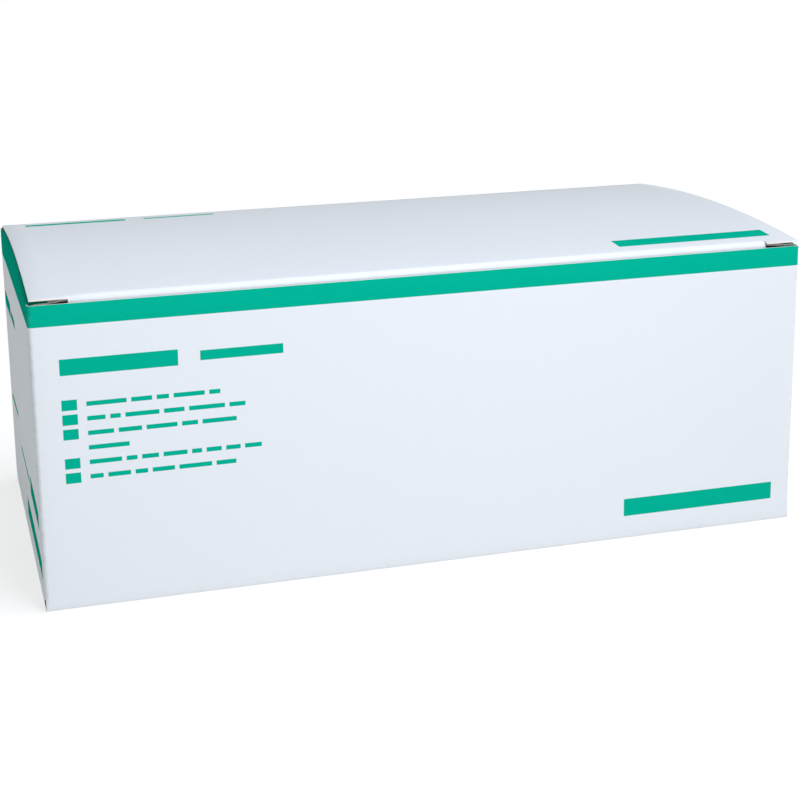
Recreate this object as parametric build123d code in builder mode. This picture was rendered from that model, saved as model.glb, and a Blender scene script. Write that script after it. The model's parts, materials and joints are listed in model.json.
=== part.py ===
"""Folding carton of coated board, closed by a hinged lid with a tuck-in flap.

The carton stands on its bottom with the front panel facing -Y and its length along X.
The origin is on the floor, under the middle of the carton. All sizes are in millimetres.
"""

from build123d import *
from math import asin, cos, hypot, sin, sqrt
import os

# Outside of the carton
length = 270.0
depth = 134.0
front_height = 103.0
board = 0.6

# The back panel's crease lies this much lower than the front panel's cut edge
back_drop = 0.5

# Lid panel and its tuck-in flap
lid_crown = 3.5
lid_fold_radius = 2.2
slit_length = 13.0
slit_gap = 1.35
slit_drop = 0.6
tuck_depth = 20.0
tuck_corner_radius = 12.0
tuck_side_gap = 1.2
crease_radius = 0.45

# Dust flaps under the lid
dust_flap_length = 62.0
dust_flap_bend_radius = 3.0
dust_flap_front_gap = 2.6
dust_flap_back_gap = 1.8
dust_flap_shoulder = 15.0
dust_flap_taper = 9.0
dust_flap_corner_radius = 9.0

# Upright folds, seam and glued bottom
corner_radius = 1.5
bottom_fold_radius = 1.2
bottom_flap_length = 58.0
inner_bottom_depth = 70.0
bottom_end_inset = 0.3
bottom_edge_gap = 1.5
relief_length = 8.0
relief_height = 4.2
seam_flap_width = 16.0
seam_flap_taper = 8.0

# Running clearances
swing_gap = 0.3
lid_rest_gap = 0.7
crease_gap = 0.1

# Places worked out from the sizes
half_length = length / 2
half_depth = depth / 2
crease_height = front_height - back_drop
lip_height = front_height + slit_gap
slit_start = half_length - slit_length
flap_wall = front_height - 2 * dust_flap_bend_radius

# Cuts reach this far, past the carton on every side
reach = 2 * length

# Circle through the lid's back crease, its crown and its front lip, in the plane of the end panels
chord = hypot(depth, lip_height - crease_height)
chord_lean = asin((lip_height - crease_height) / chord)
arch_radius = (chord**2 / 4 + lid_crown**2) / (2 * lid_crown)
arch_y = -(arch_radius - lid_crown) * sin(chord_lean)
arch_z = (crease_height + lip_height) / 2 - (arch_radius - lid_crown) * cos(chord_lean)


def arch_point(y, above=0.0):
    """Point at y on the lid's underside, or on the arch that lies the given distance above it."""
    return (y, arch_z + sqrt((arch_radius + above) ** 2 - (y - arch_y) ** 2))


def arched_block(inset):
    """Solid that fills the carton's top up to the dust flaps, less the inset, with bent ends."""
    top = -lid_rest_gap - inset
    with BuildPart() as block:
        with BuildSketch(Plane.YZ):
            with BuildLine():
                crown = ThreePointArc(*[arch_point(y, top) for y in (-half_depth, 0, half_depth)])
                Polyline(crown @ 1, (half_depth, flap_wall), (-half_depth, flap_wall), crown @ 0)
            make_face()
        extrude(amount=half_length - inset, both=True)
        fillet(block.edges().filter_by(GeomType.CIRCLE), radius=dust_flap_bend_radius - inset)
    return block.part


# Lid: one bent strip makes the arched panel, the rolled fold and the tuck-in flap
lid_back = half_depth - crease_gap
tuck_face = -half_depth + board + swing_gap
tuck_half_width = half_length - board - tuck_side_gap
swing_radius = depth - board - swing_gap
tuck_tip = (half_depth - sqrt(swing_radius**2 - tuck_depth**2), crease_height - tuck_depth)

with BuildPart() as lid:
    with BuildSketch(Plane.YZ):
        with BuildLine() as strip:
            ThreePointArc(*[arch_point(y, board) for y in (lid_back, 0, tuck_face)])
            Line(arch_point(tuck_face, board), tuck_tip)
            fillet(strip.vertices().sort_by(Axis.X)[0], radius=lid_fold_radius)
            offset(amount=board, side=Side.LEFT)
        make_face()
    extrude(amount=tuck_half_width, both=True)

    # Rounded lower corners of the tuck-in flap
    across_board = lid.edges().filter_by(Axis.X, reverse=True)
    fillet(across_board.group_by(Axis.Z)[0], radius=tuck_corner_radius)

    # The fold is slit at both ends: the flat panel ends there in a cut edge flush with the front panel,
    # and the tuck-in flap starts a little below that panel's edge
    with BuildSketch(Plane.XY.offset(front_height - slit_drop)):
        with Locations((-half_length, 0), (half_length, 0)):
            Rectangle(2 * slit_length, reach)
    extrude(amount=reach, mode=Mode.SUBTRACT)
    with BuildSketch(Plane.YZ.offset(slit_start), Plane.YZ.offset(-half_length)):
        with BuildLine():
            ThreePointArc(*[arch_point(y, board) for y in (lid_back, 0, -half_depth)])
            offset(amount=board, side=Side.LEFT)
        make_face()
    extrude(amount=slit_length)

    # Rounded outside of the back crease
    fillet(lid.edges().filter_by(Axis.X).group_by(Axis.Y)[-1], radius=crease_radius)

# Upper ends: each end panel bends over into a dust flap that follows the arch of the lid
with BuildPart() as dust_flaps:
    add(arched_block(0))
    add(arched_block(board), mode=Mode.SUBTRACT)

    # Outline of the flaps seen from above
    flap_front = -half_depth + dust_flap_front_gap
    flap_back = half_depth - dust_flap_back_gap
    with BuildSketch():
        with BuildLine() as outline:
            Polyline(
                (-half_length - board, flap_front),
                (-half_length + dust_flap_shoulder, flap_front),
                (-half_length + dust_flap_length, flap_front + dust_flap_taper),
                (-half_length + dust_flap_length, flap_back - dust_flap_taper),
                (-half_length + dust_flap_shoulder, flap_back),
                (-half_length - board, flap_back),
                close=True,
            )
            fillet(outline.vertices().group_by(Axis.X)[-1], radius=dust_flap_corner_radius)
        make_face()
        mirror(about=Plane.YZ)
    extrude(amount=reach, mode=Mode.INTERSECT)

# Bottom end flaps: folded in from the end panels and cut back at a slant towards the carton's corners
with BuildPart() as end_flaps:
    with BuildSketch(Plane.XZ):
        with BuildLine():
            FilletPolyline(
                (-half_length, relief_height),
                (-half_length, board),
                (-half_length + bottom_flap_length, board),
                radius=bottom_fold_radius,
            )
            offset(amount=board, side=Side.LEFT)
        make_face()
        mirror(about=Plane.YZ)
    extrude(amount=half_depth, both=True)
    with BuildSketch(Plane.YZ):
        Polygon(
            (-half_depth + board, relief_height),
            (-half_depth + relief_length, board),
            (half_depth - relief_length, board),
            (half_depth - board, relief_height),
            align=None,
        )
    extrude(amount=half_length, both=True, mode=Mode.INTERSECT)

# Inner bottom panel: folded in from the back panel and cut back in the same way
with BuildPart() as inner_panel:
    with BuildSketch(Plane.YZ):
        with BuildLine():
            FilletPolyline(
                (half_depth, relief_height),
                (half_depth, 2 * board),
                (half_depth - inner_bottom_depth, 2 * board),
                radius=bottom_fold_radius,
            )
            offset(amount=board, side=Side.RIGHT)
        make_face()
    extrude(amount=half_length, both=True)
    with BuildSketch(Plane.XZ):
        Polygon(
            (-half_length + board, relief_height),
            (-half_length + relief_length, 2 * board),
            (half_length - relief_length, 2 * board),
            (half_length - board, relief_height),
            align=None,
        )
    extrude(amount=half_depth, both=True, mode=Mode.INTERSECT)

# Body: wall, seam, bottom and dust flaps are one folded and glued sheet
with BuildPart() as carton_body:
    with BuildSketch(Plane.XY.offset(relief_height)):
        RectangleRounded(length, depth, corner_radius)
        RectangleRounded(length - 2 * board, depth - 2 * board, corner_radius - board, mode=Mode.SUBTRACT)
    extrude(amount=front_height - relief_height)

    # The wall gives way to the dust flaps' bends at both ends and to the lid's crease at the back
    with BuildSketch(Plane.XY.offset(flap_wall)):
        with Locations((0, (flap_front + flap_back) / 2)):
            Rectangle(reach, flap_back - flap_front)
    extrude(amount=reach, mode=Mode.SUBTRACT)
    with BuildSketch(Plane.XY.offset(crease_height - crease_gap)):
        with Locations((0, half_depth)):
            Rectangle(reach, 2 * dust_flap_back_gap)
    extrude(amount=reach, mode=Mode.SUBTRACT)
    add(dust_flaps.part)

    # Outer bottom panel, folded back from the front panel
    with BuildSketch(Plane.YZ):
        with BuildLine():
            FilletPolyline(
                (-half_depth, relief_height),
                (-half_depth, 0),
                (half_depth - bottom_edge_gap, 0),
                radius=bottom_fold_radius,
            )
            offset(amount=board, side=Side.LEFT)
        make_face()
    extrude(amount=half_length - bottom_end_inset, both=True)

    add(end_flaps.part)
    add(inner_panel.part)

    # Seam flap of the end panel, glued inside the back panel
    with BuildSketch(Plane.XZ.offset(-half_depth + board)):
        with BuildLine():
            Polyline(
                (-half_length + board, relief_height),
                (-half_length + seam_flap_width, relief_height + seam_flap_taper),
                (-half_length + seam_flap_width, flap_wall - seam_flap_taper),
                (-half_length + board, flap_wall),
                close=True,
            )
        make_face()
    extrude(amount=board)

lid.part.label = "lid"
carton_body.part.label = "carton_body"

os.makedirs("parts", exist_ok=True)
export_step(carton_body.part, "parts/carton_body.step")
export_step(lid.part, "parts/lid.step")
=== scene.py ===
"""Dresses a long folding carton of coated board, with a tuck-in lid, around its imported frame.

Lengths are in metres, +Z is up, the carton's length lies along X and its front panel faces -Y.
"""

from __future__ import annotations

import json
import logging
import math
from collections.abc import Callable, Mapping, Sequence
from dataclasses import dataclass, field, fields
from enum import Enum, IntEnum
from typing import Any, NamedTuple

import bmesh
import bpy
from mathutils import Matrix, Vector, noise

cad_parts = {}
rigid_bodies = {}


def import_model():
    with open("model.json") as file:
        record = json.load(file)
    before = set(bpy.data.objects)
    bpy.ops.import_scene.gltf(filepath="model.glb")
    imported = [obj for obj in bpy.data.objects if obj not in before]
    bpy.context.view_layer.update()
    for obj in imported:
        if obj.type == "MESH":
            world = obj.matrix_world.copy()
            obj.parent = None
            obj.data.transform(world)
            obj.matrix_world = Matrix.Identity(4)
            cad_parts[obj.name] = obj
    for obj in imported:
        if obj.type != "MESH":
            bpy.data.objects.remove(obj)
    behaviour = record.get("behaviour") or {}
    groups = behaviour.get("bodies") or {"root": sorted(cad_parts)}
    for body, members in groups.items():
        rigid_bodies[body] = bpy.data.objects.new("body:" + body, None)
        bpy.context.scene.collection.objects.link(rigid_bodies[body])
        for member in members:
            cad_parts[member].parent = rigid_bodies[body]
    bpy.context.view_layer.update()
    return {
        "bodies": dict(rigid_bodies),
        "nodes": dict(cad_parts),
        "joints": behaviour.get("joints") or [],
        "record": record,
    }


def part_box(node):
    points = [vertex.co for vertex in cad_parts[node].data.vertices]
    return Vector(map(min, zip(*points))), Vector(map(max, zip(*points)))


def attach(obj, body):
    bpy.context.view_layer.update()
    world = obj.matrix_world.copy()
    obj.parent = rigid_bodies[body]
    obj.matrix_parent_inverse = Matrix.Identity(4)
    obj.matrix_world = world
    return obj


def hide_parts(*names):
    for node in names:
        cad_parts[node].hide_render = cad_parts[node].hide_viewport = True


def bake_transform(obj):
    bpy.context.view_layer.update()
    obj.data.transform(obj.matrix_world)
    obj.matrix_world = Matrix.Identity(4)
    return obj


log = logging.getLogger("carton")

MM = 0.001
BODY = "carton_body"
LID = "lid"

Triple = tuple[float, float, float]
Span = tuple[float, float]
Grid = list[list[Vector]]


class Zone(IntEnum):
    """What the printed face shows; its raw back and its cut edge follow in the material list."""

    WHITE = 0
    GREEN = 3


class Panel(Enum):
    """The four upright panels: the way each faces, and the way its columns run, seen from outside."""

    FRONT = ((0.0, -1.0), (1.0, 0.0))
    RIGHT = ((1.0, 0.0), (0.0, 1.0))
    BACK = ((0.0, 1.0), (-1.0, 0.0))
    LEFT = ((-1.0, 0.0), (0.0, -1.0))

    @property
    def facing(self) -> Vector:
        """The panel's outward direction."""
        return Vector((*self.value[0], 0.0))

    @property
    def along(self) -> Vector:
        """The direction to the right, for someone who looks at the panel from outside."""
        return Vector((*self.value[1], 0.0))


def spread(start: float, end: float, steps: int) -> list[float]:
    """Even stations from start to end, both included, with this number of steps between them."""
    return [start + (end - start) * i / steps for i in range(steps + 1)]


def mix(a: float, b: float, share: float) -> float:
    """The value that lies the given share of the way from a to b."""
    return a + (b - a) * share


def add_object(name: str, data: bpy.types.ID) -> bpy.types.Object:
    """Puts a new object into the scene.

    Args:
        name: Its name.
        data: Its mesh, light or camera.

    Returns:
        The object.
    """
    thing = bpy.data.objects.new(name, data)
    bpy.context.scene.collection.objects.link(thing)
    return thing


def plain_mesh(piece: bpy.types.Object) -> bpy.types.Mesh:
    """Works out what a piece's modifiers make of it, and takes them off.

    Args:
        piece: The object with the modifiers.

    Returns:
        The finished mesh.
    """
    bpy.context.view_layer.update()
    evaluated = piece.evaluated_get(bpy.context.evaluated_depsgraph_get())
    mesh = bpy.data.meshes.new_from_object(evaluated)
    mesh.name = piece.name
    piece.modifiers.clear()
    return mesh


def operator_pair(operation: str) -> tuple[Callable[..., Signal], Callable[..., Signal]]:
    """Makes an operator of Signal and its reflected form.

    Args:
        operation: What the operator's Math node does.

    Returns:
        The method that takes the signal first, and the one that takes it last.
    """

    def plain(signal: Signal, other: Signal | float) -> Signal:
        """The signal first."""
        return signal.combine(operation, signal, other)

    def reflected(signal: Signal, other: Signal | float) -> Signal:
        """The signal last."""
        return signal.combine(operation, other, signal)

    return plain, reflected


class Signal:
    """A node socket that takes part in Python arithmetic, each operation becoming a Math node."""

    __add__, __radd__ = operator_pair("ADD")
    __sub__, __rsub__ = operator_pair("SUBTRACT")
    __mul__, __rmul__ = operator_pair("MULTIPLY")
    __mod__, __rmod__ = operator_pair("FLOORED_MODULO")
    __gt__, __lt__ = operator_pair("GREATER_THAN")

    def __init__(self, maker: NodeMaker, socket: bpy.types.NodeSocket | None) -> None:
        """Wraps an output socket of the maker's tree."""
        self.maker = maker
        self.socket = socket

    def __abs__(self) -> Signal:
        """Size of the signal without its sign."""
        return self.combine("ABSOLUTE", self)

    def combine(self, operation: str, *values: Signal | float) -> Signal:
        """Adds one Math node, with its inputs in their order."""
        return self.maker.make("ShaderNodeMath", dict(enumerate(values)), operation=operation)

    def out(self, name: str) -> Signal:
        """Another output of the same node, by name."""
        return Signal(self.maker, live(self.socket.node.outputs, name))


def live(sockets: Sequence[bpy.types.NodeSocket], key: str | int) -> bpy.types.NodeSocket:
    """Finds a socket that the node's settings leave in use.

    Args:
        sockets: The node's inputs or outputs.
        key: The socket's name, or its place in the list.

    Returns:
        The socket.
    """
    if isinstance(key, int):
        return sockets[key]
    return next(socket for socket in sockets if socket.name == key and socket.enabled)


class NodeMaker:
    """Adds nodes to a shader or geometry tree."""

    def __init__(self, tree: bpy.types.NodeTree) -> None:
        """Keeps the tree to add to."""
        self.tree = tree

    def make(self, kind: str, sockets: Mapping[str | int, Any] | None = None, **settings: Any) -> Signal:
        """Adds one node of any type.

        Args:
            kind: The node's type.
            sockets: Values or signals for its inputs, by name or place.
            **settings: The node's own settings, which are set first.

        Returns:
            The node's first output in use, or a signal without a socket where it has none.
        """
        node = self.tree.nodes.new(kind)
        for name, value in settings.items():
            setattr(node, name, value)
        for key, value in (sockets or {}).items():
            target = live(node.inputs, key)
            if isinstance(value, Signal):
                self.tree.links.new(value.socket, target)
            else:
                target.default_value = value
        return Signal(self, next((s for s in node.outputs if s.enabled), None))

    def noise(self, coords: Signal, scale: float, detail: float = 2.0) -> Signal:
        """Soft random values from 0 to 1, by the waves in a metre and the number of finer layers."""
        return self.make("ShaderNodeTexNoise", {"Vector": coords, "Scale": scale, "Detail": detail})

    def between(self, value: Signal, low: float, high: float) -> Signal:
        """A soft mask, which is 0 where the value is low and 1 where it is high."""
        sockets = {"Value": value, "From Min": low, "From Max": high}
        return self.make("ShaderNodeMapRange", sockets, interpolation_type="SMOOTHSTEP")

    def tint(self, mask: Signal, low: Signal | Triple, high: Signal | Triple) -> Signal:
        """Mixes two colours: the first where the mask is 0, the second where it is 1."""
        a, b = (value if isinstance(value, Signal) else (*value, 1.0) for value in (low, high))
        return self.make("ShaderNodeMix", {"Factor": mask, "A": a, "B": b}, data_type="RGBA")

    def vector(self, x: Signal | float = 0.0, y: Signal | float = 0.0, z: Signal | float = 0.0) -> Signal:
        """Joins three values into a vector."""
        return self.make("ShaderNodeCombineXYZ", {"X": x, "Y": y, "Z": z})

    def split(self, vector: Signal) -> Signal:
        """Splits a vector into its X, and its Y and Z as the other outputs."""
        return self.make("ShaderNodeSeparateXYZ", {"Vector": vector})


@dataclass(frozen=True)
class BoardFinish:
    """One surface of the board: its colour, its soft clouds and fine mottle, its gloss and its wear."""

    name: str
    colour: Triple
    cloud_colour: Triple
    mottle_colour: Triple
    fleck_colour: Triple
    roughness: float
    grain_depth: float
    fleck_share: float
    roughness_swing: float = 0.10
    specular: float = 0.3
    cloud_scale: float = 11.0
    cloud_span: Span = (0.35, 0.65)
    mottle_scale: float = 900.0
    mottle_span: Span = (0.3, 0.75)
    mottle_grain: float = 0.6
    fleck_coarseness: float = 0.6
    fibre_scale: float = 2600.0
    fibre_stretch: float = 5.0
    wave_scale: float = 16.0
    wave_depth: float = 0.0
    rub_colour: Triple = (0.5, 0.49, 0.46)
    rub_share: float = 0.0
    rub_foot: float = 0.6
    rub_reach: float = 2.2 * MM
    rub_scale: float = 420.0
    rub_span: Span = (0.42, 0.68)
    rub_roughness: float = 0.2
    crease_depth: float = 0.0
    crease_scale: float = 14.0
    crease_width: float = 0.008
    crease_patch_scale: float = 18.2
    crease_patch_span: Span = (0.62, 0.70)
    crease_patch_shift: Triple = (3.1, 1.7, 5.3)
    half_length: float = 135.0 * MM
    half_depth: float = 67.0 * MM

    def _rubbed(self, nodes: NodeMaker, place: Signal) -> Signal:
        """Masks the folds and the foot of the carton, where the coat is rubbed in patches.

        Args:
            nodes: The material's nodes.
            place: Object coordinates.

        Returns:
            The mask, from 0 to the finish's share.
        """
        split = nodes.split(place)
        end = nodes.between(abs(split), self.half_length - self.rub_reach, self.half_length)
        side = nodes.between(abs(split.out("Y")), self.half_depth - self.rub_reach, self.half_depth)
        foot = nodes.between(split.out("Z"), self.rub_reach, 0.0)
        patches = nodes.between(nodes.noise(place, self.rub_scale, detail=3.0), *self.rub_span)
        return (end * side + foot * self.rub_foot) * patches * self.rub_share

    def _creases(self, nodes: NodeMaker, place: Signal) -> Signal:
        """Draws a few faint crease lines, as handling leaves them.

        Args:
            nodes: The material's nodes.
            place: Object coordinates.

        Returns:
            The lines, from 0 to 1.
        """
        drift = nodes.noise(place, self.crease_scale, detail=0.0)
        line = nodes.between(abs(drift - 0.5), self.crease_width, 0.0)
        shift = {0: place, 1: self.crease_patch_shift}
        shifted = nodes.make("ShaderNodeVectorMath", shift, operation="ADD")
        patches = nodes.noise(shifted, self.crease_patch_scale, detail=0.0)
        return line * nodes.between(patches, *self.crease_patch_span)

    def material(self) -> bpy.types.Material:
        """Makes the material.

        Returns:
            A material whose pattern reads the piece's Object coordinates.
        """
        material = bpy.data.materials.new(self.name)
        material.use_nodes = True
        material.node_tree.nodes.clear()
        nodes = NodeMaker(material.node_tree)
        place = nodes.make("ShaderNodeTexCoord").out("Object")
        stretch = {0: place, 1: (1.0, self.fibre_stretch, self.fibre_stretch)}
        stretched = nodes.make("ShaderNodeVectorMath", stretch, operation="MULTIPLY")

        clouds = nodes.between(nodes.noise(place, self.cloud_scale), *self.cloud_span)
        mottle = nodes.noise(place, self.mottle_scale, detail=3.0)
        fibres = nodes.noise(stretched, self.fibre_scale / self.fibre_stretch, detail=4.0)
        flecks = nodes.noise(place, self.mottle_scale * self.fleck_coarseness, detail=1.0)
        flecks = nodes.between(flecks, 1.0 - self.fleck_share, 1.0)

        colour = nodes.tint(clouds, self.colour, self.cloud_colour)
        texture = nodes.between(mottle * 0.5 + fibres * 0.5, *self.mottle_span)
        colour = nodes.tint(texture, colour, self.mottle_colour)
        colour = nodes.tint(flecks, colour, self.fleck_colour)
        roughness = self.roughness + (mottle - 0.5) * self.roughness_swing
        roughness = roughness + (clouds - 0.5) * (self.roughness_swing / 2)

        height = (mottle * self.mottle_grain + fibres * (1.0 - self.mottle_grain)) * self.grain_depth
        if self.wave_depth:
            height = height + nodes.noise(place, self.wave_scale, detail=1.0) * self.wave_depth
        if self.crease_depth:
            height = height - self._creases(nodes, place) * self.crease_depth
        if self.rub_share:
            rub = self._rubbed(nodes, place)
            colour = nodes.tint(rub, colour, self.rub_colour)
            roughness = roughness + rub * self.rub_roughness
        bump = nodes.make("ShaderNodeBump", {"Height": height, "Distance": 1.0, "Strength": 1.0})
        look = {"Base Color": colour, "Roughness": roughness, "Normal": bump}
        shader = nodes.make("ShaderNodeBsdfPrincipled", {**look, "Specular IOR Level": self.specular})
        nodes.make("ShaderNodeOutputMaterial", {"Surface": shader})
        return material


COATED_WHITE = BoardFinish(
    name="coated_white",
    colour=(0.700, 0.738, 0.772),
    cloud_colour=(0.707, 0.740, 0.766),
    mottle_colour=(0.690, 0.728, 0.762),
    fleck_colour=(0.55, 0.57, 0.59),
    roughness=0.5,
    grain_depth=0.006 * MM,
    fleck_share=0.16,
    wave_depth=0.10 * MM,
    rub_share=0.35,
    crease_depth=0.03 * MM,
)
GREEN_INK = BoardFinish(
    name="green_ink",
    colour=(0.001, 0.388, 0.258),
    cloud_colour=(0.0015, 0.396, 0.266),
    mottle_colour=(0.001, 0.372, 0.247),
    fleck_colour=(0.05, 0.43, 0.315),
    roughness=0.6,
    grain_depth=0.005 * MM,
    fleck_share=0.17,
    wave_depth=0.10 * MM,
    specular=0.0,
    rub_colour=(0.16, 0.50, 0.41),
    rub_share=0.12,
)
RAW_BACK = BoardFinish(
    name="raw_back",
    colour=(0.50, 0.44, 0.36),
    cloud_colour=(0.53, 0.475, 0.395),
    mottle_colour=(0.44, 0.385, 0.31),
    fleck_colour=(0.24, 0.19, 0.14),
    roughness=0.86,
    grain_depth=0.03 * MM,
    fleck_share=0.24,
    mottle_scale=520.0,
    wave_depth=0.08 * MM,
    specular=0.2,
)
CUT_EDGE = BoardFinish(
    name="cut_edge",
    colour=(0.82, 0.80, 0.76),
    cloud_colour=(0.84, 0.83, 0.80),
    mottle_colour=(0.72, 0.68, 0.62),
    fleck_colour=(0.45, 0.38, 0.31),
    roughness=0.9,
    roughness_swing=0.08,
    grain_depth=0.05 * MM,
    fleck_share=0.22,
    mottle_scale=1500.0,
    specular=0.2,
)


@dataclass(frozen=True)
class BoardMaterials:
    """The board's materials, in the order that Zone and the Solidify offsets pick them by."""

    white: bpy.types.Material
    green: bpy.types.Material
    back: bpy.types.Material
    edge: bpy.types.Material

    def in_order(self) -> list[bpy.types.Material]:
        """Printed face, raw back and cut edge, for each zone in turn."""
        return [self.white, self.back, self.edge, self.green, self.back, self.edge]


@dataclass
class BoardSheet:
    """Grows one piece of folded board from grids of points on its printed face."""

    name: str
    thickness: float
    weld: float = 0.002 * MM
    edge_softness: float = 0.07 * MM
    edge_segments: int = 2
    cut_angle: float = math.radians(60.0)
    sharp_angle: float = math.radians(38.0)
    _points: list[Vector] = field(default_factory=list)
    _faces: list[tuple[int, int, int, int]] = field(default_factory=list)
    _zones: list[Zone] = field(default_factory=list)

    def add(self, grid: Grid, green: range = range(0)) -> None:
        """Adds a grid. Its columns run to the right and its rows run up, seen from the printed side.

        Args:
            grid: Rows of points, each row as long as the others.
            green: The rows of cells that are green.
        """
        start = len(self._points)
        width = len(grid[0])
        for row in grid:
            self._points.extend(row)
        for r in range(len(grid) - 1):
            for corner in range(start + r * width, start + (r + 1) * width - 1):
                self._faces.append((corner, corner + 1, corner + width + 1, corner + width))
                self._zones.append(Zone.GREEN if r in green else Zone.WHITE)

    def _flat_mesh(self, materials: BoardMaterials) -> bpy.types.Mesh:
        """Makes a mesh of the printed face alone, with the grids welded where they meet.

        Args:
            materials: The board's materials.

        Returns:
            The mesh.
        """
        mesh = bpy.data.meshes.new(self.name)
        mesh.from_pydata([tuple(p) for p in self._points], [], self._faces)
        mesh.polygons.foreach_set("material_index", [int(zone) for zone in self._zones])
        for material in materials.in_order():
            mesh.materials.append(material)
        work = bmesh.new()
        work.from_mesh(mesh)
        bmesh.ops.remove_doubles(work, verts=work.verts, dist=self.weld)
        work.to_mesh(mesh)
        work.free()
        return mesh

    def build(self, materials: BoardMaterials) -> bpy.types.Object:
        """Gives the sheet its thickness and softens its cut edges.

        Args:
            materials: The board's materials.

        Returns:
            The finished piece, as a plain mesh with no modifier.
        """
        piece = add_object(self.name, self._flat_mesh(materials))
        solid = piece.modifiers.new("thickness", "SOLIDIFY")
        solid.thickness = self.thickness
        solid.offset = -1.0
        solid.use_even_offset = True
        solid.material_offset = 1
        solid.material_offset_rim = 2
        soft = piece.modifiers.new("soft_edges", "BEVEL")
        soft.width = self.edge_softness
        soft.segments = self.edge_segments
        soft.limit_method = "ANGLE"
        soft.angle_limit = self.cut_angle
        piece.data = plain_mesh(piece)
        piece.data.shade_smooth()
        piece.data.set_sharp_from_angle(angle=self.sharp_angle)
        return piece


@dataclass(frozen=True)
class CartonSizes:
    """The sizes that the carton's pieces share."""

    half_length: float
    half_depth: float
    crease_height: float
    board: float = 0.6 * MM
    front_rise: float = 0.5 * MM
    slit_gap: float = 1.35 * MM
    lid_crown: float = 3.5 * MM
    lid_rest_gap: float = 0.7 * MM
    crease_gap: float = 0.1 * MM
    trim: float = 0.004 * MM
    cell: float = 6.0 * MM

    @classmethod
    def from_frame(cls, frame: Mapping[str, Any]) -> CartonSizes:
        """Reads the carton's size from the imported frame.


        Returns:
            The sizes.
        """
        low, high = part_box(BODY)
        hinge = frame["joints"][0]["pos_m"]
        half_length = (high[0] - low[0]) / 2 - cls.trim
        half_depth = (high[1] - low[1]) / 2 - cls.trim
        return cls(half_length=half_length, half_depth=half_depth, crease_height=hinge[2])

    @property
    def lid_face(self) -> float:
        """Height of the lid's printed face above its underside."""
        return self.board - 2 * self.trim

    @property
    def front_height(self) -> float:
        """Height of the front panel's cut edge."""
        return self.crease_height + self.front_rise

    @property
    def lip_height(self) -> float:
        """Height of the lid's underside at its front edge."""
        return self.front_height + self.slit_gap

    @property
    def arch_radius(self) -> float:
        """Radius of the lid's underside, seen from the end."""
        chord = math.hypot(2 * self.half_depth, self.lip_height - self.crease_height)
        return (chord**2 / 4 + self.lid_crown**2) / (2 * self.lid_crown)

    @property
    def arch_centre(self) -> Span:
        """Centre of that radius.

        Returns:
            Its Y and Z.
        """
        lean = math.atan2(self.lip_height - self.crease_height, 2 * self.half_depth)
        drop = self.arch_radius - self.lid_crown
        middle = (self.crease_height + self.lip_height) / 2
        return -drop * math.sin(lean), middle - drop * math.cos(lean)

    def arch(self, y: float, above: float = 0.0) -> float:
        """Height at y of the lid's underside, or of the arch that lies the given distance above it."""
        centre_y, centre_z = self.arch_centre
        return centre_z + math.sqrt((self.arch_radius + above) ** 2 - (y - centre_y) ** 2)

    def lid_point(self, y: float) -> Vector:
        """Y and Z of the lid's printed face at y."""
        return Vector((y, self.arch(y, self.lid_face)))


@dataclass(frozen=True)
class FlapOutline:
    """One side edge of a flap: how far it comes in, as the flap runs out from its fold."""

    length: float
    corner_radius: float
    shoulder: float = 0.0
    taper: float = 0.0
    corner_steps: int = 8

    def _corner(self) -> Triple:
        """Where the rounded corner's centre lies, and where its arc starts.

        Returns:
            The centre's distance out, how far in it lies, and the arc's start angle.
        """
        run = self.length - self.shoulder
        slant = math.hypot(run, self.taper)
        centre = self.length - self.corner_radius
        centre_in = (self.corner_radius * slant + (centre - self.shoulder) * self.taper) / run
        return centre, centre_in, math.asin(self.taper / slant)

    def side_in(self, out: float) -> float:
        """How far the side edge has come in.

        Args:
            out: Distance from the fold.

        Returns:
            The distance from the edge's first line.
        """
        centre, centre_in, lean = self._corner()
        if out > centre + self.corner_radius * math.sin(lean):
            reach = min(out - centre, self.corner_radius)
            return centre_in - math.sqrt(self.corner_radius**2 - reach**2)
        return max(0.0, (out - self.shoulder) * self.taper / (self.length - self.shoulder))

    def stations(self, start: float, step: float) -> list[float]:
        """Distances out at which the flap needs a row of points.

        Args:
            start: Where the flat flap starts.
            step: Longest wanted row.

        Returns:
            The distances, from the start to the flap's end.
        """
        centre, _, lean = self._corner()
        arc_start = centre + self.corner_radius * math.sin(lean)
        stops = [start, arc_start]
        if start < self.shoulder < arc_start:
            stops.insert(1, self.shoulder)
        rows = [start]
        for a, b in zip(stops, stops[1:]):
            rows += spread(a, b, max(1, round((b - a) / step)))[1:]
        angles = spread(lean, math.pi / 2, self.corner_steps)[1:]
        return rows + [centre + self.corner_radius * math.sin(angle) for angle in angles]


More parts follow.
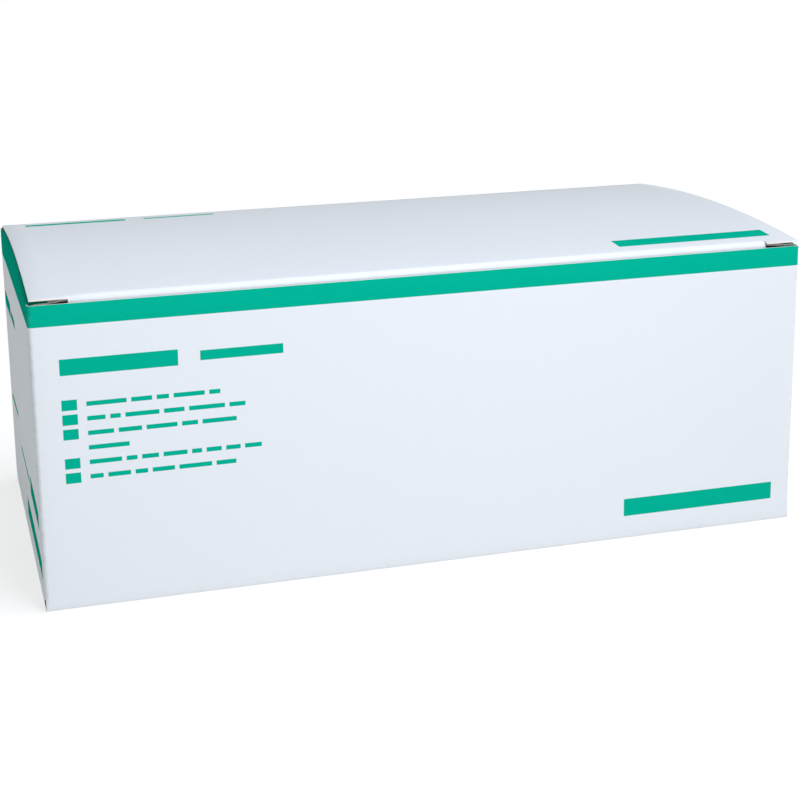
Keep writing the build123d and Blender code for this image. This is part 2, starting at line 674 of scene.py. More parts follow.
@dataclass(frozen=True)
class FlapFold:
    """How a dust flap leaves its fold: it presses up to the lid, but springs down at its front edge."""

    front_radius: float
    front_sag: float
    front_power: int = 6
    radius: float = 1.2 * MM
    press: float = 0.45 * MM
    press_power: int = 4
    reach: float = 15.0 * MM
    flat_rows: int = 6

    def _near_front(self, back_share: float) -> float:
        """How much a place belongs to the front edge, by its share of the way from there to the back."""
        return (1.0 - back_share) ** self.front_power

    def radius_at(self, back_share: float) -> float:
        """Radius of the fold, at a share of the way from the flap's front edge to its back edge."""
        return mix(self.radius, self.front_radius, self._near_front(back_share))

    def drop(self, inset: float, back_share: float) -> float:
        """How far the flap lies below its own arch, which keeps a gap to the lid.

        Args:
            inset: Distance inwards from the end panel.
            back_share: Share of the way from the flap's front edge to its back edge.

        Returns:
            The drop, which is nothing from the reach on and below 0 where the flap presses up.
        """
        radius = self.radius_at(back_share)
        share = min(1.0, max(0.0, (inset - radius) / (self.reach - radius)))
        near_fold = 1.0 - share * share * (3.0 - 2.0 * share)
        middle = 1.0 - (2.0 * back_share - 1.0) ** self.press_power
        return near_fold * (self.front_sag * self._near_front(back_share) - self.press * middle)


class Column(NamedTuple):
    """An upright line on the wall: its panel, or none on a corner, its place along it, and its foot."""

    panel: Panel | None
    along: float
    foot: Vector


@dataclass
class CartonBody:
    """Wall, dust flaps and glued bottom: all of the carton but its lid."""

    sizes: CartonSizes
    materials: BoardMaterials
    corner_radius: float = 1.5 * MM
    bottom_fold_radius: float = 1.2 * MM
    relief_height: float = 4.2 * MM
    relief_length: float = 8.0 * MM
    bottom_flap_length: float = 58.0 * MM
    inner_bottom_depth: float = 70.0 * MM
    bottom_end_inset: float = 0.3 * MM
    bottom_edge_gap: float = 1.5 * MM
    dust_flap: FlapOutline = FlapOutline(62.0 * MM, 9.0 * MM, shoulder=15.0 * MM, taper=9.0 * MM)
    dust_flap_bend_radius: float = 3.0 * MM
    dust_flap_front_gap: float = 2.6 * MM
    dust_flap_back_gap: float = 1.8 * MM
    left_fold: FlapFold = FlapFold(front_radius=3.0 * MM, front_sag=1.0 * MM)
    right_fold: FlapFold = FlapFold(front_radius=1.2 * MM, front_sag=0.6 * MM)
    flap_fold_steps: int = 9
    flap_green_rows: int = 12
    seam_width: float = 16.0 * MM
    seam_taper: float = 8.0 * MM
    band_front: float = 95.9 * MM
    band_end_back: float = 92.8 * MM
    crease_reach: float = 1.3 * MM
    crease_dip: float = 0.08 * MM
    panel_bow: float = 0.36 * MM
    panel_wave: float = 0.05 * MM
    bow_power: int = 4
    wave_scale: float = 22.0
    wall_rows: int = 20
    fold_steps: int = 7

    @property
    def flap_wall(self) -> float:
        """Height at which the dust flaps leave the wall."""
        return self.sizes.front_height - 2 * self.dust_flap_bend_radius

    def half_width(self, panel: Panel) -> float:
        """Half of a panel's width, from middle to corner."""
        return self.sizes.half_length if panel.along.x else self.sizes.half_depth

    def reach(self, panel: Panel) -> float:
        """Distance from the carton's middle to a panel's printed face."""
        return self.sizes.half_depth if panel.along.x else self.sizes.half_length

    def at(self, panel: Panel, along: float, inset: float, height: float) -> Vector:
        """The point of a panel at a distance right of its middle, inwards, and up from the floor."""
        flat = panel.facing * (self.reach(panel) - inset) + panel.along * along
        return flat + Vector((0.0, 0.0, height))

    def bow(self, panel: Panel, along: float, height: float) -> float:
        """How far a panel has bowed inwards; it is nothing at the folds.

        Args:
            panel: The panel.
            along: Distance to the right of its middle.
            height: Height above the floor.

        Returns:
            The inset at that place.
        """
        middle = (self.relief_height + self.flap_wall) / 2
        across = along / (self.half_width(panel) - self.corner_radius)
        up = (height - middle) / (self.flap_wall - middle)
        if abs(across) >= 1.0 or abs(up) >= 1.0:
            return 0.0
        window = (1.0 - across**self.bow_power) * (1.0 - up**self.bow_power)
        ripple = noise.noise(self.at(panel, along, 0.0, height) * self.wave_scale)
        return window * (self.panel_bow + self.panel_wave * ripple)

    def band_edge(self, y: float) -> float:
        """Height of the green band's lower edge, which slants on the ends."""
        share = (y + self.sizes.half_depth) / (2 * self.sizes.half_depth)
        return mix(self.band_front, self.band_end_back, share)

    def _flat_columns(self, panel: Panel, places: Sequence[float]) -> list[Column]:
        """Columns at the given distances to the right of a panel's middle."""
        return [Column(panel, along, self.at(panel, along, 0.0, 0.0)) for along in places]

    def _corner_columns(self, panel: Panel) -> list[Column]:
        """Columns of the rounded fold at a panel's right edge, without its two ends.

        Args:
            panel: The panel to the left of the fold.

        Returns:
            The columns, from left to right.
        """
        radius = self.corner_radius
        centre = self.at(panel, self.half_width(panel) - radius, radius, 0.0)
        turns = spread(0.0, math.pi / 2, self.fold_steps)[1:-1]
        rays = [panel.facing * math.cos(turn) + panel.along * math.sin(turn) for turn in turns]
        return [Column(None, 0.0, centre + ray * radius) for ray in rays]

    def _long_side(self, before: Panel, panel: Panel, after: Panel) -> list[Column]:
        """Columns of a long panel and its corners, up to where the dust flaps start on the ends.

        Args:
            before: The end panel to its left.
            panel: The front or back panel.
            after: The end panel to its right.

        Returns:
            The columns, from left to right.
        """
        end_edge = self.sizes.half_depth - self.corner_radius
        edge = self.sizes.half_length - self.corner_radius
        return [
            *self._flat_columns(before, [end_edge]),
            *self._corner_columns(before),
            *self._flat_columns(panel, spread(-edge, edge, round(2 * edge / self.sizes.cell))),
            *self._corner_columns(panel),
            *self._flat_columns(after, [-end_edge]),
        ]

    def _stretches(self) -> tuple[list[Column], ...]:
        """Upright columns round the wall, in four stretches that each start where the last one ended.

        Returns:
            The front and its corners, the right dust flap, the back and its corners, the left dust flap.
        """
        flap_front = -self.sizes.half_depth + self.dust_flap_front_gap
        flap_back = self.sizes.half_depth - self.dust_flap_back_gap
        flap = spread(flap_front, flap_back, round((flap_back - flap_front) / self.sizes.cell))
        right = self._flat_columns(Panel.RIGHT, flap)
        left = self._flat_columns(Panel.LEFT, [-y for y in reversed(flap)])
        front = [left[-1], *self._long_side(Panel.LEFT, Panel.FRONT, Panel.RIGHT), right[0]]
        back = [right[-1], *self._long_side(Panel.RIGHT, Panel.BACK, Panel.LEFT), left[0]]
        return front, right, back, left

    def _on_wall(self, column: Column, height: float) -> Vector:
        """Finds a point of the wall, pushed in where its panel bows.

        Args:
            column: The column that it is on.
            height: Height above the floor.

        Returns:
            The point.
        """
        point = column.foot + Vector((0.0, 0.0, height))
        if column.panel is None:
            return point
        return point - column.panel.facing * self.bow(column.panel, column.along, height)

    def _wall(self, sheet: BoardSheet) -> None:
        """Adds the wall with its band, the front and back panels' upper edges, and the dust flaps.

        Args:
            sheet: The sheet to add to.
        """
        front, right, back, left = self._stretches()
        columns = [*front, *right[1:], *back[1:], *left[1:]]
        edges = [self.band_edge(column.foot.y) for column in columns]
        shares = spread(0.0, 1.0, self.wall_rows)
        levels = [[mix(self.relief_height, edge, share) for edge in edges] for share in shares]
        levels.append([self.flap_wall] * len(columns))
        grid = [[self._on_wall(column, z) for column, z in zip(columns, level)] for level in levels]
        sheet.add(grid, green=range(self.wall_rows, len(grid)))

        crease = self.sizes.crease_height
        edge_levels = ((self.flap_wall, 0.0), (self.sizes.front_height, 0.0))
        crease_levels = (
            (self.flap_wall, 0.0),
            (crease - self.crease_reach, 0.0),
            (crease - self.sizes.crease_gap, self.crease_dip),
        )
        for stretch, rows in ((front, edge_levels), (back, crease_levels)):
            grid = [[column.foot + Vector((0.0, -dip, z)) for column in stretch] for z, dip in rows]
            sheet.add(grid, green=range(len(grid)))
        for panel, stretch in ((Panel.RIGHT, right), (Panel.LEFT, left)):
            self._dust_flap(sheet, panel, [column.along for column in stretch])

    def _dust_flap(self, sheet: BoardSheet, panel: Panel, columns: Sequence[float]) -> None:
        """Adds a flap that bends over from an end panel and follows the arch of the lid.

        Args:
            sheet: The sheet to add to.
            panel: The end panel.
            columns: Distances along the panel.
        """
        fold = self.left_fold if panel is Panel.LEFT else self.right_fold
        first, last = columns[0], columns[-1]
        shares = [(along - first) / (last - first) for along in columns]
        back_shares = [1.0 - share for share in shares] if panel is Panel.LEFT else shares
        radii = [fold.radius_at(share) for share in back_shares]

        def row(insets: Sequence[float], lower: Sequence[float] | None = None) -> list[Vector]:
            """Makes a row of points.

            Args:
                insets: Each point's distance inwards from the end panel.
                lower: How far each lies below the flap's arch, besides its drop.

            Returns:
                The points.
            """
            points = []
            drops = lower or [0.0] * len(shares)
            for share, back_share, inset, below in zip(shares, back_shares, insets, drops):
                side_in = self.dust_flap.side_in(inset)
                along = mix(first + side_in, last - side_in, share)
                arch = self.sizes.arch((panel.along * along).y, -self.sizes.lid_rest_gap)
                points.append(self.at(panel, along, inset, arch - below - fold.drop(inset, back_share)))
            return points

        grid = [[self.at(panel, along, 0.0, self.flap_wall) for along in columns]]
        for turn in spread(0.0, math.pi / 2, self.flap_fold_steps):
            inset, below = 1.0 - math.cos(turn), 1.0 - math.sin(turn)
            grid.append(row([radius * inset for radius in radii], [radius * below for radius in radii]))
        for share in spread(0.0, 1.0, fold.flat_rows)[1:]:
            grid.append(row([mix(radius, fold.reach, share) for radius in radii]))
        for inset in self.dust_flap.stations(fold.reach, self.sizes.cell)[1:]:
            grid.append(row([inset] * len(columns)))
        sheet.add(grid, green=range(self.flap_green_rows))

    def _bottom(self, sheet: BoardSheet) -> None:
        """Adds the outer and inner bottom panels and the two end flaps between them.

        Args:
            sheet: The sheet to add to.
        """
        board, radius = self.sizes.board, self.bottom_fold_radius
        outer_depth = 2 * self.sizes.half_depth - self.bottom_edge_gap
        wall = [column for stretch in self._stretches() for column in stretch]
        turns = spread(math.pi / 2, 0.0, self.fold_steps)
        for panel, floor, depth in (
            (Panel.FRONT, 0.0, outer_depth),
            (Panel.RIGHT, board, self.bottom_flap_length),
            (Panel.LEFT, board, self.bottom_flap_length),
            (Panel.BACK, 2 * board, self.inner_bottom_depth),
        ):
            columns = sorted({column.along for column in wall if column.panel is panel})
            insets = spread(depth, radius, round(depth / self.sizes.cell))[:-1]
            path = [(inset, floor) for inset in insets]
            path += [(radius * (1 - math.cos(t)), floor + radius * (1 - math.sin(t))) for t in turns]
            path.append((0.0, self.relief_height))
            grid: Grid = []
            for inset, height in path:
                if panel is Panel.FRONT:
                    end = self.sizes.half_length - self.bottom_end_inset
                    places = [-end, *columns, end]
                else:
                    share = (self.relief_height - height) / (self.relief_height - floor)
                    end = mix(columns[-1], self.half_width(panel) - self.relief_length, share)
                    places = [along * end / columns[-1] for along in columns]
                grid.append([self.at(panel, along, inset, height) for along in places])
            sheet.add(grid)

    def _seam(self, sheet: BoardSheet) -> None:
        """Adds the flap of the left end panel that is glued inside the back panel.

        Args:
            sheet: The sheet to add to.
        """
        board = self.sizes.board
        grid: Grid = []
        for out in (self.seam_width, self.seam_width / 2, 0.0):
            taper = self.seam_taper * out / self.seam_width
            heights = spread(self.relief_height + taper, self.flap_wall - taper, self.wall_rows)
            along = self.sizes.half_length - board - out
            bows = [board + self.bow(Panel.BACK, along, z) for z in heights]
            grid.append([self.at(Panel.BACK, along, inset, z) for inset, z in zip(bows, heights)])
        sheet.add([list(row) for row in zip(*grid)])

    def build(self) -> bpy.types.Object:
        """Makes the body.

        Returns:
            The finished piece, riding on the carton's body.
        """
        sheet = BoardSheet("carton_board", self.sizes.board)
        self._wall(sheet)
        self._bottom(sheet)
        self._seam(sheet)
        piece = sheet.build(self.materials)
        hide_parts(BODY)
        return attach(piece, BODY)


@dataclass
class TuckLid:
    """The arched lid panel, its rolled fold with a slit at each end, and the flap that tucks in."""

    sizes: CartonSizes
    materials: BoardMaterials
    fold_radius: float = 2.2 * MM
    slit_length: float = 13.0 * MM
    slit_drop: float = 0.6 * MM
    tuck_depth: float = 20.0 * MM
    tuck_corner_radius: float = 12.0 * MM
    tuck_side_gap: float = 1.2 * MM
    tuck_row: float = 2.0 * MM
    swing_gap: float = 0.3 * MM
    back_cut: float = 0.35 * MM
    side_trim: float = 0.8 * MM
    wave: float = 0.06 * MM
    wave_scale: float = 18.0
    arch_steps: int = 24
    fold_steps: int = 9
    end_steps: int = 2

    @property
    def back_edge(self) -> float:
        """Y of the lid's edge at the crease, where the coated skin bends round it."""
        return self.sizes.half_depth - self.sizes.crease_gap - self.back_cut

    @property
    def fold_end(self) -> float:
        """X at which the rolled fold gives way to the slit."""
        return self.sizes.half_length - self.slit_length

    @property
    def tuck_half_width(self) -> float:
        """Half of the tuck-in flap's width."""
        return self.sizes.half_length - self.sizes.board - self.tuck_side_gap

    def _tuck_line(self) -> tuple[Vector, Vector]:
        """The tuck-in flap's printed face, seen from the end, as Y and Z.

        Returns:
            Its corner on the lid's arch before rounding, and its tip.
        """
        face = -self.sizes.half_depth + self.sizes.board + self.swing_gap
        top = Vector((face, self.sizes.arch(face, self.sizes.board)))
        swing = 2 * self.sizes.half_depth - self.sizes.board - self.swing_gap
        tip_y = self.sizes.half_depth - math.sqrt(swing**2 - self.tuck_depth**2)
        return top, Vector((tip_y, self.sizes.crease_height - self.tuck_depth))

    def _fold_centre(self) -> Vector:
        """Finds the centre of the rolled fold, which touches the arch and the tuck-in flap's line.

        Returns:
            The centre, as Y and Z.
        """
        top, tip = self._tuck_line()
        down = (tip - top).normalized()
        start = top + Vector((-down.y, down.x)) * self.fold_radius
        offset = start - Vector(self.sizes.arch_centre)
        reach = self.sizes.arch_radius + self.sizes.board - self.fold_radius
        half_b = offset.dot(down)
        root = math.sqrt(half_b**2 - offset.length_squared + reach**2)
        return start + down * min(-half_b - root, -half_b + root, key=abs)

    def _profile(self) -> tuple[list[Vector], int]:
        """Follows the printed face between the slits, from the crease to the slits' height.

        Returns:
            Its points, as Y and Z, and the place in the list where the rolled fold starts.
        """
        centre = self._fold_centre()
        away = (centre - Vector(self.sizes.arch_centre)).normalized()
        fold_top = (centre + away * self.fold_radius).x
        points = [self.sizes.lid_point(y) for y in spread(self.back_edge, fold_top, self.arch_steps)]
        fold_start = len(points) - 1
        corner, tip = self._tuck_line()
        down = (tip - corner).normalized()
        foot = corner + down * (centre - corner).dot(down)
        first = math.atan2(away.y, away.x)
        last = math.atan2(foot.y - centre.y, foot.x - centre.x) % (2 * math.pi)
        for turn in spread(first, last, self.fold_steps)[1:]:
            points.append(centre + Vector((math.cos(turn), math.sin(turn))) * self.fold_radius)
        slit_height = self.sizes.front_height - self.slit_drop
        points.append(foot + down * ((foot.y - slit_height) / -down.y))
        return points, fold_start

    def ripple(self, x: float, point: Vector) -> float:
        """How far the lid's panel rises or dips at a place; it is nothing at its edges.

        Args:
            x: Place along the carton's length.
            point: Y and Z on the printed face.

        Returns:
            The change of height.
        """
        across = x / self.sizes.half_length
        back = point.x / self.sizes.half_depth
        window = max(0.0, 1.0 - across**2) * max(0.0, 1.0 - back**2)
        return self.wave * window * (noise.noise(Vector((x, point.x, 0.0)) * self.wave_scale) - 1.0)

    def _rows(self, points: Sequence[Vector], columns: Sequence[float]) -> Grid:
        """Spreads a profile over columns, with its rows from front to back so that its coat looks out."""
        return [[Vector((x, p.x, p.y + self.ripple(x, p))) for x in columns] for p in reversed(points)]

    def _tuck_flap(self, top: Vector, middle: Sequence[float]) -> Grid:
        """The flap from the slits' height down to its tip, with its rounded corners.

        Args:
            top: Y and Z where the printed face passes the slits' height.
            middle: X of the columns between the slits.

        Returns:
            The grid, from the tip up.
        """
        tip = self._tuck_line()[1]
        down = (tip - top).normalized()
        outline = FlapOutline(length=(tip - top).length, corner_radius=self.tuck_corner_radius)
        columns = [-self.tuck_half_width, *middle, self.tuck_half_width]
        grid = []
        for out in reversed(outline.stations(0.0, self.tuck_row)):
            point = top + down * out
            scale = (self.tuck_half_width - outline.side_in(out)) / self.tuck_half_width
            grid.append([Vector((x * scale, point.x, point.y)) for x in columns])
        return grid

    def build(self) -> bpy.types.Object:
        """Makes the lid.

        Returns:
            The finished piece, riding on the lid.
        """
        sheet = BoardSheet("lid_board", self.sizes.board)
        points, fold_start = self._profile()
        middle = spread(-self.fold_end, self.fold_end, round(2 * self.fold_end / self.sizes.cell))
        sheet.add(self._rows(points, middle))

        # The flat panel goes on at both ends of the fold, as far as the front panel's face
        to_front = spread(points[fold_start].x, -self.sizes.half_depth, self.end_steps)[1:]
        panel = points[: fold_start + 1] + [self.sizes.lid_point(y) for y in to_front]
        for side in (-1.0, 1.0):
            edges = sorted((side * (self.sizes.half_length - self.side_trim), side * self.fold_end))
            sheet.add(self._rows(panel, spread(*edges, self.end_steps)))

        sheet.add(self._tuck_flap(points[-1], middle))
        piece = sheet.build(self.materials)
        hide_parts(LID)
        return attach(piece, LID)


@dataclass
class LidCrease:
    """The coated skin that bends over the crease between the back panel and the lid."""

    sizes: CartonSizes
    materials: BoardMaterials
    lift: float = 0.03 * MM
    face_in: float = 0.004 * MM
    thickness: float = 0.02 * MM
    edge_softness: float = 0.004 * MM
    bend_radius: float = 0.62 * MM
    wall_reach: float = 1.1 * MM
    lid_reach: float = 1.3 * MM
    end_gap: float = 1.6 * MM
    bend_steps: int = 6
    columns: int = 30
    green_rows: int = 2

    def _path(self) -> list[Span]:
        """Follows the skin from the wall over the bend to the lid, seen from the end.

        Returns:
            Its points, as Y and Z.
        """
        face = self.sizes.half_depth - self.face_in
        centre_y = face - self.bend_radius
        arch_rise = self.sizes.board + self.lift
        centre_z = self.sizes.arch(centre_y, arch_rise) - self.bend_radius
        wall_foot = self.sizes.crease_height - self.wall_reach
        path = [(face, wall_foot), (face, mix(wall_foot, centre_z, 0.5))]
        for turn in spread(0.0, math.pi / 2, self.bend_steps):
            y = centre_y + self.bend_radius * math.cos(turn)
            path.append((y, centre_z + self.bend_radius * math.sin(turn)))
        for y in (centre_y - self.lid_reach / 2, centre_y - self.lid_reach):
            path.append((y, self.sizes.arch(y, arch_rise)))
        return path

    def build(self) -> bpy.types.Object:
        """Makes the crease.

        Returns:
            The finished piece, in place over the crease and parented to neither body.
        """
        end = self.sizes.half_length - self.end_gap
        columns = list(reversed(spread(-end, end, self.columns)))
        sheet = BoardSheet("lid_crease", self.thickness, edge_softness=self.edge_softness)
        grid = [[Vector((x, y, z)) for x in columns] for y, z in self._path()]
        sheet.add(grid, green=range(self.green_rows))
        piece = sheet.build(self.materials)
        depth, height = self.sizes.half_depth, self.sizes.crease_height
        start = Vector((0.0, depth, height - self.bend_radius))
        end_point = Vector((0.0, depth - self.bend_radius, height + self.sizes.board))
        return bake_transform(piece)


@dataclass
class PrintRows:
    """Rows of plain dashes, each behind a small block, except for one short row without a block."""

    rows: int = 6
    pitch: float = 4.9 * MM
    unmarked_row: int = 3
    block_width: float = 4.9 * MM
    block_height: float = 3.5 * MM
    dash_start: float = 5.4 * MM
    dashes: int = 12
    dash_gap: float = 1.5 * MM
    dash_least: float = 3.0 * MM
    dash_most: float = 13.5 * MM
    dash_height: float = 1.5 * MM
    row_least: float = 42.0 * MM
    row_most: float = 58.5 * MM
    short_row: float = 16.5 * MM
    ink: float = 0.03 * MM
    seed: int = 142

    def _inputs(self) -> dict[str, int | float]:
        """The tree's inputs, which are named after the sizes."""
        return {size.name.replace("_", " ").title(): getattr(self, size.name) for size in fields(self)}

    def _tree(self, ink: bpy.types.Material) -> bpy.types.NodeTree:
        """Builds the node tree that lays out the rows in a flat plane, from the first row's block down.

        Args:
            ink: The material.

        Returns:
            The tree, with named inputs for its sizes.
        """
        tree = bpy.data.node_groups.new("print_rows", "GeometryNodeTree")
        for name, value in self._inputs().items():
            kind = "NodeSocketInt" if isinstance(value, int) else "NodeSocketFloat"
            tree.interface.new_socket(name=name, in_out="INPUT", socket_type=kind)
        tree.interface.new_socket(name="Geometry", in_out="OUTPUT", socket_type="NodeSocketGeometry")
        nodes = NodeMaker(tree)
        size = nodes.make("NodeGroupInput").out
        index = nodes.make("GeometryNodeInputIndex")
        cube = nodes.make("GeometryNodeMeshCube", {"Size": (1.0, 1.0, 1.0)})

        def slabs(points: Signal, chosen: Signal, width: Signal, height: Signal) -> Signal:
            """Puts a thin slab of ink at each chosen point.

            Args:
                points: The points.
                chosen: 1 where a point gets a slab.
                width: The slab's width.
                height: The slab's height.

            Returns:
                The slabs, as instances.
            """
            scale = nodes.vector(width, height, size("Ink"))
            sockets = {"Points": points, "Selection": chosen, "Instance": cube, "Scale": scale}
            return nodes.make("GeometryNodeInstanceOnPoints", sockets)

        def random(least: Signal, most: Signal, item: Signal, seed: Signal) -> Signal:
            """A random length between two others for each item."""
            sockets = {"Min": least, "Max": most, "ID": item, "Seed": seed}
            return nodes.make("FunctionNodeRandomValue", sockets)

        step = nodes.vector(y=0.0 - size("Pitch"))
        places = nodes.make("GeometryNodeMeshLine", {"Count": size("Rows"), "Offset": step})
        marked = abs(index - size("Unmarked Row")) > 0.5
        blocks = slabs(places, marked, size("Block Width"), size("Block Height"))

        row = index % size("Rows")
        short = abs(row - size("Unmarked Row")) < 0.5
        full_row = random(size("Row Least"), size("Row Most"), row, size("Seed"))
        row_length = full_row * (1.0 - short) + size("Short Row") * short
        width = random(size("Dash Least"), size("Dash Most"), index, size("Seed") + 1)
        steps = {"Value": width + size("Dash Gap"), "Group ID": row}
        run = nodes.make("GeometryNodeAccumulateField", steps, data_type="FLOAT", domain="POINT")
        left = run.out("Trailing")
        count = {"Count": size("Rows") * size("Dashes"), "Offset": (0.0, 0.0, 0.0)}
        heap = nodes.make("GeometryNodeMeshLine", count)
        middle = nodes.vector(size("Dash Start") + left + width * 0.5, 0.0 - row * size("Pitch"))
        spots = nodes.make("GeometryNodeSetPosition", {"Geometry": heap, "Position": middle})
        dashes = slabs(spots, (left + width) < row_length, width, size("Dash Height"))

        join = nodes.make("GeometryNodeJoinGeometry", {"Geometry": blocks})
        tree.links.new(dashes.socket, join.socket.node.inputs[0])
        real = nodes.make("GeometryNodeRealizeInstances", {"Geometry": join})
        inked = nodes.make("GeometryNodeSetMaterial", {"Geometry": real, "Material": ink})
        nodes.make("NodeGroupOutput", {"Geometry": inked})
        return tree

    def mesh(self, ink: bpy.types.Material) -> bpy.types.Mesh:
        """Runs the tree.

        Args:
            ink: The material.

        Returns:
            The rows as a plain mesh, in the XY plane, with the first block's centre at the origin.
        """
        holder = add_object("print_rows", bpy.data.meshes.new("print_rows"))
        modifier = holder.modifiers.new("rows", "NODES")
        modifier.node_group = self._tree(ink)
        values = self._inputs()
        for item in modifier.node_group.interface.items_tree:
            if item.in_out == "INPUT":
                modifier[item.identifier] = values[item.name]
        mesh = plain_mesh(holder)
        bpy.data.objects.remove(holder)
        return mesh


@dataclass(frozen=True)
class Bar:
    """One plain printed bar: its middle, seen from the printed side, and its size."""

    right: float
    up: float
    width: float
    height: float


@dataclass
class PanelPrint:
    """The print on one face: plain bars, and on the front panel rows of dashes."""

    name: str
    owner: str
    place: Callable[[float, float, float], Vector]
    bars: Sequence[Bar]
    rows_at: Span | None = None
    ink: float = 0.03 * MM
    sunk: float = 0.4
    cell: float = 6.0 * MM

    def _bar_mesh(self, work: bmesh.types.BMesh, bar: Bar) -> None:
        """Adds a bar as a thin closed slab, cut across so that it can follow a bowed panel.

        Args:
            work: The mesh to add to, in the print's own flat plane.
            bar: The bar.
        """
        steps = max(2, round(bar.width / self.cell))
        low, high = bar.up - bar.height / 2, bar.up + bar.height / 2
        under, over = -self.ink / 2, self.ink / 2
        section = ((low, under), (high, under), (high, over), (low, over))
        loops = []
        for x in spread(bar.right - bar.width / 2, bar.right + bar.width / 2, steps):
            loops.append([work.verts.new((x, y, z)) for y, z in section])
        for a, b in zip(loops, loops[1:]):
            for i, j in ((0, 1), (1, 2), (2, 3), (3, 0)):
                work.faces.new((a[i], a[j], b[j], b[i]))
        work.faces.new(reversed(loops[0]))
        work.faces.new(loops[-1])

    def build(self, rows: PrintRows, material: bpy.types.Material) -> bpy.types.Object:
        """Makes the print.

        Args:
            rows: The layout of the rows.
            material: The ink.

        Returns:
            The finished piece, riding on the body that it is printed on.
        """
        work = bmesh.new()
        for bar in self.bars:
            self._bar_mesh(work, bar)
        if self.rows_at:
            flat = rows.mesh(material)
            flat.transform(Matrix.Translation((*self.rows_at, 0.0)))
            work.from_mesh(flat)
        bmesh.ops.recalc_face_normals(work, faces=work.faces)
        for vert in work.verts:
            lift = vert.co.z + self.ink * (0.5 - self.sunk)
            vert.co = self.place(vert.co.x, vert.co.y, lift)
        bmesh.ops.recalc_face_normals(work, faces=work.faces)
        mesh = bpy.data.meshes.new(self.name)
        work.to_mesh(mesh)
        work.free()
        mesh.materials.clear()
        mesh.materials.append(material)
        piece = add_object(self.name, mesh)
        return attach(piece, self.owner)


@dataclass
class PrintedMatter:
    """All the print on the carton besides its band."""

    sizes: CartonSizes
    body: CartonBody
    lid: TuckLid
    ink: bpy.types.Material
    rows_at: Span = (-123.55 * MM, 69.6 * MM)
    front_bars: tuple[Bar, ...] = (
        Bar(-107.1 * MM, 82.2 * MM, 37.8 * MM, 5.4 * MM),
        Bar(-67.25 * MM, 82.2 * MM, 27.5 * MM, 3.3 * MM),
        Bar(98.2 * MM, 11.8 * MM, 58.4 * MM, 6.4 * MM),
    )
    lid_bars: tuple[Bar, ...] = (
        Bar(-107.1 * MM, 56.5 * MM, 37.8 * MM, 5.4 * MM),
        Bar(-67.25 * MM, 56.5 * MM, 27.5 * MM, 3.3 * MM),
        Bar(98.2 * MM, -55.0 * MM, 58.4 * MM, 7.6 * MM),
    )
    end_bars: tuple[Bar, ...] = (
        Bar(-50.0 * MM, 76.0 * MM, 26.0 * MM, 5.4 * MM),
        Bar(-24.5 * MM, 76.0 * MM, 19.0 * MM, 3.3 * MM),
        Bar(-46.0 * MM, 37.0 * MM, 28.0 * MM, 2.0 * MM),
        Bar(-4.0 * MM, 27.5 * MM, 38.0 * MM, 1.6 * MM),
        Bar(39.0 * MM, 28.0 * MM, 38.0 * MM, 6.4 * MM),
        Bar(30.0 * MM, 12.5 * MM, 64.0 * MM, 6.4 * MM),
    )

    def _on_panel(self, panel: Panel) -> Callable[[float, float, float], Vector]:
        """Places flat print on a panel, following its bow."""
        at, bow = self.body.at, self.body.bow
        return lambda along, up, lift: at(panel, along, bow(panel, along, up) - lift, up)

    def _on_lid(self, x: float, y: float, lift: float) -> Vector:
        """Places flat print on the lid's arch."""
        height = self.sizes.arch(y, self.sizes.lid_face)
        return Vector((x, y, height + lift + self.lid.ripple(x, Vector((y, height)))))

    def build(self) -> list[bpy.types.Object]:
        """Makes the print of the front panel, the end panels and the lid.

        Returns:
            The finished pieces.
        """
        front, left, right = (self._on_panel(panel) for panel in (Panel.FRONT, Panel.LEFT, Panel.RIGHT))
        parts = (
            PanelPrint("front_print", BODY, front, self.front_bars, self.rows_at),
            PanelPrint("left_end_print", BODY, left, self.end_bars),
            PanelPrint("right_end_print", BODY, right, self.end_bars),
            PanelPrint("lid_print", LID, self._on_lid, self.lid_bars),
        )
        return [part.build(PrintRows(), self.ink) for part in parts]


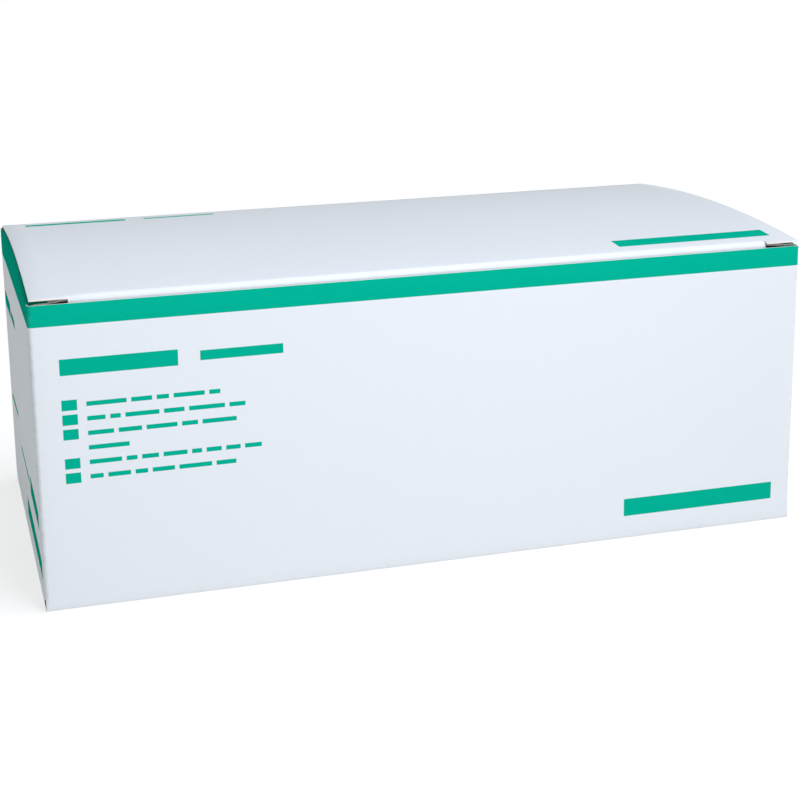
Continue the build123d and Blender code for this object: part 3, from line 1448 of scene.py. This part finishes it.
@dataclass
class Studio:
    """The pale floor, the soft lights and the camera at the photograph's viewing angle."""

    floor_half: float = 6.0
    floor_colour: Triple = (0.30, 0.30, 0.30)
    floor_glow: float = 0.72
    floor_roughness: float = 0.9
    floor_specular: float = 0.1
    sky_colour: Triple = (1.0, 0.965, 0.86)
    sky_strength: float = 0.35
    sky_front_strength: float = 0.27
    sky_front_span: Span = (-0.8, 0.3)
    shade_colour: Triple = (0.55, 1.0, 1.15)
    shade_strength: float = 0.03
    shade_span: Span = (-0.6, 0.1)
    sun_towards: Triple = (0.34, -0.14, 1.0)
    sun_strength: float = 1.93
    sun_colour: Triple = (1.0, 1.03, 1.15)
    sun_softness: float = math.radians(50.0)
    lamp_place: Triple = (0.04, -0.40, 0.29)
    lamp_size: float = 0.22
    lamp_power: float = 0.70
    lamp_colour: Triple = (0.98, 1.0, 1.14)
    azimuth: float = -16.311
    elevation: float = 13.332
    roll: float = -0.689
    target: Triple = (6.18 * MM, 0.0, 85.47 * MM)
    distance: float = 626.95 * MM
    focal_pixels: float = 1673.97
    axis_height_pixels: float = 280.0
    picture_pixels: float = 800.0
    sensor: float = 36.0

    def _floor(self) -> None:
        """Makes the floor."""
        mesh = bpy.data.meshes.new("floor")
        half = self.floor_half
        corners = [(-half, -half, 0), (half, -half, 0), (half, half, 0), (-half, half, 0)]
        mesh.from_pydata(corners, [], [(0, 1, 2, 3)])
        material = bpy.data.materials.new("pale_floor")
        material.use_nodes = True
        inputs = material.node_tree.nodes["Principled BSDF"].inputs
        inputs["Base Color"].default_value = (*self.floor_colour, 1.0)
        inputs["Roughness"].default_value = self.floor_roughness
        inputs["Specular IOR Level"].default_value = self.floor_specular
        inputs["Emission Color"].default_value = (1.0, 1.0, 1.0, 1.0)
        inputs["Emission Strength"].default_value = self.floor_glow
        mesh.materials.append(material)
        floor = add_object("floor", mesh)

    def _light(self, name: str, kind: str, strength: float, colour: Triple) -> bpy.types.Object:
        """Adds a light, which is turned by a quaternion.

        Args:
            name: The light's name.
            kind: The light's type.
            strength: Its energy.
            colour: Its colour.

        Returns:
            The light.
        """
        data = bpy.data.lights.new(name, kind)
        data.energy = strength
        data.color = colour
        light = add_object(name, data)
        light.rotation_mode = "QUATERNION"
        return light

    def _lights(self) -> None:
        """Adds a very soft sun, which reaches the whole floor alike, and a lamp in front."""
        sun = self._light("key", "SUN", self.sun_strength, self.sun_colour)
        sun.data.angle = self.sun_softness
        sun.rotation_quaternion = Vector(self.sun_towards).to_track_quat("Z", "Y")
        lamp = self._light("pool", "AREA", self.lamp_power, self.lamp_colour)
        lamp.data.shape = "SQUARE"
        lamp.data.size = self.lamp_size
        lamp.location = self.lamp_place
        aim = Vector(self.target) - Vector(self.lamp_place)
        lamp.rotation_quaternion = aim.to_track_quat("-Z", "Y")

    def _world(self) -> None:
        """Makes the surroundings: white where they are seen, dimmer and darker on the left as light."""
        world = bpy.data.worlds.new("studio")
        world.use_nodes = True
        world.node_tree.nodes.clear()
        nodes = NodeMaker(world.node_tree)
        seen = nodes.make("ShaderNodeLightPath").out("Is Camera Ray")
        direction = nodes.split(nodes.make("ShaderNodeTexCoord").out("Generated"))
        side = nodes.between(direction.out("X"), *self.shade_span)
        front = nodes.between(0.0 - direction.out("Y"), *self.sky_front_span)
        sky_light = side * (front * self.sky_front_strength + self.sky_strength)
        strength = seen + (1.0 - seen) * (sky_light + (1.0 - side) * self.shade_strength)
        colour = nodes.tint(side, self.shade_colour, self.sky_colour)
        colour = nodes.tint(seen, colour, (1.0, 1.0, 1.0))
        sky = nodes.make("ShaderNodeBackground", {"Color": colour, "Strength": strength})
        nodes.make("ShaderNodeOutputWorld", {"Surface": sky})
        bpy.context.scene.world = world

    def _camera(self) -> None:
        """Makes the scene's camera."""
        azimuth, elevation, roll = (math.radians(a) for a in (self.azimuth, self.elevation, self.roll))
        flat = math.cos(elevation)
        back = Vector((math.sin(azimuth) * flat, -math.cos(azimuth) * flat, math.sin(elevation)))
        level = Vector((math.cos(azimuth), math.sin(azimuth), 0.0))
        right = level * math.cos(roll) + back.cross(level) * math.sin(roll)
        up = back.cross(right)
        data = bpy.data.cameras.new("camera")
        data.sensor_width = self.sensor
        data.lens = self.focal_pixels * self.sensor / self.picture_pixels
        data.shift_y = (self.axis_height_pixels - self.picture_pixels / 2) / self.picture_pixels
        camera = add_object("camera", data)
        turn = Matrix((right, up, back)).transposed().to_4x4()
        camera.matrix_world = Matrix.Translation(Vector(self.target) + back * self.distance) @ turn
        bpy.context.scene.camera = camera

    def build(self) -> None:
        """Makes the whole studio."""
        self._floor()
        self._world()
        self._lights()
        self._camera()
        bpy.context.scene.view_settings.view_transform = "Standard"


def main() -> None:
    """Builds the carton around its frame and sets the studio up."""
    logging.basicConfig(level=logging.INFO, format="%(name)s: %(message)s")
    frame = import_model()

    sizes = CartonSizes.from_frame(frame)
    materials = BoardMaterials(
        white=COATED_WHITE.material(),
        green=GREEN_INK.material(),
        back=RAW_BACK.material(),
        edge=CUT_EDGE.material(),
    )
    body = CartonBody(sizes, materials)
    lid = TuckLid(sizes, materials)
    pieces = [body.build(), lid.build(), LidCrease(sizes, materials).build()]
    pieces += PrintedMatter(sizes, body, lid, materials.green).build()
    for piece in pieces:
        log.info("%s: %d faces", piece.name, len(piece.data.polygons))
    Studio().build()


if __name__ == "__main__":
    main()
